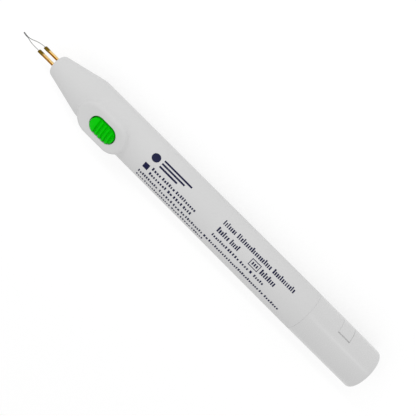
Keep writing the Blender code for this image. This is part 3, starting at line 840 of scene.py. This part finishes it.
def drawWire(name, route, radius, steps):
    # round wire along a smooth curve through the route's places
    selectNone()
    bpy.ops.curve.primitive_bezier_curve_add(location=(0, 0, 0))
    piece = bpy.context.object
    piece.name = name
    line = piece.data.splines[0]
    line.bezier_points.add(len(route) - 2)
    for spot, place in zip(line.bezier_points, route):
        spot.co = place
        spot.handle_left_type = spot.handle_right_type = "AUTO"
    piece.data.resolution_u = steps
    piece.data.bevel_depth = radius * mm
    piece.data.bevel_resolution = 3
    piece.data.use_fill_caps = True
    bpy.ops.object.convert(target="MESH")
    mergeNear(hair)
    return bpy.context.object


def makeWire():
    # out from the upper post, round the tight turn at the point and back to the lower one
    turn = []
    for i in range(wire["turnSteps"] + 1):
        angle = pi * i / wire["turnSteps"]
        station = wire["radius"] + wire["turn"] * (1 - sin(angle))
        turn.append((station, wire["turnMiddle"] + wire["turn"] * cos(angle)))
    route = [at(station, 0, up) for station, up in wire["out"] + turn + wire["back"]]
    piece = drawWire("wireLoop", route, wire["radius"], 6)
    turnPair(piece)
    fitOut(piece, nichrome, "resistance_wire", "pen", "filament_wire", smooth=60)


makePosts()
makeWire()
print("posts and wire made")


# printed marks: plain bars in rows, wrapped onto the barrel

marks = dict(
    film=0.03, lift=0.01, seed=11, share=(0.48, 0.7), spare=0.4, tallChance=0.25, short=0.72,
    clear=0.1, stepAlong=2, stepAcross=0.5,
)
emblem = dict(
    stations=(67.2, 85.6), angle=41.6, disc=3.5, gap=1.2, stripe=0.72,
    stripes=((1.38, 1.0), (0.0, 0.82), (-1.38, 0.64)), square=2.3, squareAngle=10.2,
)
boxMark = dict(
    stations=(118.8, 123.2), angle=26.5, height=2.9, line=0.28, joint=0.02,
    inside=(119.75, 120.75, 121.75), bar=0.55, barHeight=1.2,
)
rows = [
    # angle from straight up towards -Y, bar height, bar pitch, words as (start, end) stations
    dict(angle=16.9, height=1.15, pitch=1.0, words=[(70.7, 75.0), (75.8, 81.8), (82.7, 92.2)]),
    dict(
        angle=3.1, height=1.15, pitch=1.0,
        words=[(70.8, 79.3), (80.2, 82.3), (83.1, 87.4), (88.1, 91.7)],
    ),
    dict(
        angle=-13.0, height=1.2, pitch=0.95,
        words=[
            (67.0, 76.5), (77.7, 80.4), (81.0, 84.1), (84.8, 87.9), (88.8, 90.4), (91.1, 99.6),
            (100.4, 102.5), (103.1, 112.7), (113.2, 128.2), (128.9, 130.6), (131.5, 138.5),
        ],
    ),
    dict(
        angle=-28.5, height=1.15, pitch=0.95,
        words=[(67.0, 70.5), (71.2, 84.2), (85.1, 88.9), (89.6, 94.8), (95.5, 101.0)],
    ),
    dict(angle=49.0, height=2.1, pitch=0.86, words=[(102.5, 108.3), (109.4, 126.0), (127.3, 137.8)]),
    dict(angle=26.5, height=2.1, pitch=0.86, words=[(102.5, 108.0), (109.0, 112.9), (124.1, 131.1)]),
    dict(
        angle=7.2, height=1.1, pitch=0.95,
        words=[
            (102.3, 109.6), (110.3, 111.9), (112.6, 115.8), (116.5, 120.6), (121.3, 122.7), (123.4, 128.0),
        ],
    ),
]


def justOff(station, turn):
    # a place just clear of the skin, turned from straight up towards -Y
    out = barrel["seamRadius"] + marks["clear"]
    return at(station, -out * sin(turn), out * cos(turn))


def inkBar(start, end, angle, height, rise=0.0):
    # one flat bar just off the surface, rise mm up the row from its middle
    turn = radians(angle) + rise / barrel["seamRadius"]
    selectNone()
    bpy.ops.mesh.primitive_grid_add(
        x_subdivisions=max(1, round((end - start) / marks["stepAlong"])),
        y_subdivisions=max(2, round(height / marks["stepAcross"])),
        size=1, location=justOff((start + end) / 2, turn), rotation=(turn, 0, 0),
    )
    bar = bpy.context.object
    bar.scale = ((end - start) * mm, height * mm, 1)
    settle(bar)
    return bar


def inkDisc(centre, angle, size):
    turn = radians(angle)
    disc = startDisc("inkDisc", 32, size / 2, justOff(centre, turn), (turn, 0, 0), "TRIFAN")
    bpy.ops.object.mode_set(mode="EDIT")
    bpy.ops.mesh.select_all(action="SELECT")
    bpy.ops.mesh.subdivide(number_cuts=3)
    bpy.ops.object.mode_set(mode="OBJECT")
    return disc


def wrapOn(name, bars):
    # laid on the barrel's skin and given the ink's own thickness
    choose(*bars)
    bpy.ops.object.join()
    piece = bpy.context.object
    piece.name = name
    applyStep(
        piece, "SHRINKWRAP", target=barrelPiece, wrap_method="NEAREST_SURFACEPOINT",
        wrap_mode="ABOVE_SURFACE", offset=marks["lift"] * mm,
    )
    applyStep(piece, "SOLIDIFY", thickness=marks["film"] * mm, offset=1)
    fitOut(piece, navyInk, "navy_print", "pen")


def makeRows():
    # short upright bars of uneven width, a few taller than the rest, in place of print
    dice = random.Random(marks["seed"])
    bars = []
    for row in rows:
        for start, end in row["words"]:
            count = max(1, round((end - start) / row["pitch"]))
            step = (end - start + marks["spare"] * row["pitch"]) / count
            for i in range(count):
                tall = i == 0 or dice.random() < marks["tallChance"]
                height = row["height"] if tall else row["height"] * marks["short"]
                left = start + i * step
                right = left + step * dice.uniform(*marks["share"])
                bars.append(inkBar(left, right, row["angle"], height, (height - row["height"]) / 2))
    wrapOn("inkRows", bars)


def makeEmblem():
    # a disc with three stripes, and a plain square below it
    start, end = emblem["stations"]
    size = emblem["disc"]
    bars = [inkDisc(start + size / 2, emblem["angle"], size)]
    for rise, share in emblem["stripes"]:
        left = start + size + emblem["gap"]
        bars.append(inkBar(left, left + (end - left) * share, emblem["angle"], emblem["stripe"], rise))
    square = emblem["square"]
    bars.append(inkBar(start, start + square, emblem["squareAngle"], square))
    wrapOn("inkEmblem", bars)


def makeFrame():
    # a thin outlined box round three short bars
    low, high = boxMark["stations"]
    tall, line = boxMark["height"], boxMark["line"]
    edge = (tall - line) / 2
    bars = [inkBar(low, high, boxMark["angle"], line, rise) for rise in (edge, -edge)]
    for left in (low, high - line):
        bars.append(inkBar(left, left + line, boxMark["angle"], tall - 2 * line - boxMark["joint"]))
    for left in boxMark["inside"]:
        bars.append(inkBar(left, left + boxMark["bar"], boxMark["angle"], boxMark["barHeight"]))
    wrapOn("inkBox", bars)


makeRows()
makeEmblem()
makeFrame()
print("printed marks made")


# switch leaf and the cap's spring

leaf = dict(
    front=39.5, rear=66.0, low=4.9, thick=0.25, width=4.2, cuts=24, lip=(0.8, 0.5),
    dimple=(41.0, 0.9), dimpleDepth=0.35, dimpleRound=0.25, hole=(62.5, 0.85), bend=(61.0, 49.5),
)
spring = dict(wire=0.4, radii=(3.0, 5.6), turns=3, steps=10)


def makeLeaf():
    # sprung brass strip with a raised lip, a contact dimple and the rivet's hole
    low, high = leaf["low"], leaf["low"] + leaf["thick"]
    piece = addBlock("switchLeaf", (leaf["front"], leaf["rear"]), leaf["width"], (low, high))
    along, lift = leaf["lip"]
    forwards = 0.9
    pick(piece, lambda face: face.normal.x > forwards, "FACE")
    bpy.ops.mesh.extrude_region_move(TRANSFORM_OT_translate={"value": (along * mm, 0, lift * mm)})
    for i in range(leaf["cuts"]):
        station = leaf["front"] + (leaf["rear"] - leaf["front"]) * i / leaf["cuts"]
        bpy.ops.mesh.select_all(action="SELECT")
        bpy.ops.mesh.bisect(plane_co=at(station), plane_no=(1, 0, 0))
    bpy.ops.object.mode_set(mode="OBJECT")
    dimple = addPin("dimpleSolid", *leaf["dimple"], low - leaf["dimpleDepth"], low + leaf["thick"] / 2)
    footZ = at(0, 0, low - leaf["dimpleDepth"] / 2).z
    roundEdges(dimple, lambda edge: all(v.co.z < footZ for v in edge.verts), leaf["dimpleRound"], 4)
    combine(piece, dimple, "UNION")
    combine(piece, addPin("rivetSolid", *leaf["hole"], low - past / 2, high + past / 2), "DIFFERENCE")
    fitOut(piece, finishes["brass"], "brass", None, "switch_leaf")
    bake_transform(piece)


def makeSpring():
    # conical spring with flattened end turns
    low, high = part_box("rear_spring")
    first = stationOf(high.x) + spring["wire"]
    last = stationOf(low.x) - spring["wire"]
    narrow, wide = spring["radii"]
    count = spring["turns"] * spring["steps"]
    route = []
    for i in range(count + 1):
        share = i / count
        eased = share * share * (3 - 2 * share)
        angle = 2 * pi * spring["turns"] * share
        radius = narrow + (wide - narrow) * share
        route.append(at(first + (last - first) * eased, radius * cos(angle), radius * sin(angle)))
    piece = drawWire("capSpring", route, spring["wire"], 5)
    fitOut(piece, finishes["plated_steel"], "plated_steel", "cap", "rear_spring", smooth=60)


makeLeaf()
makeSpring()
print("switch leaf and spring made")
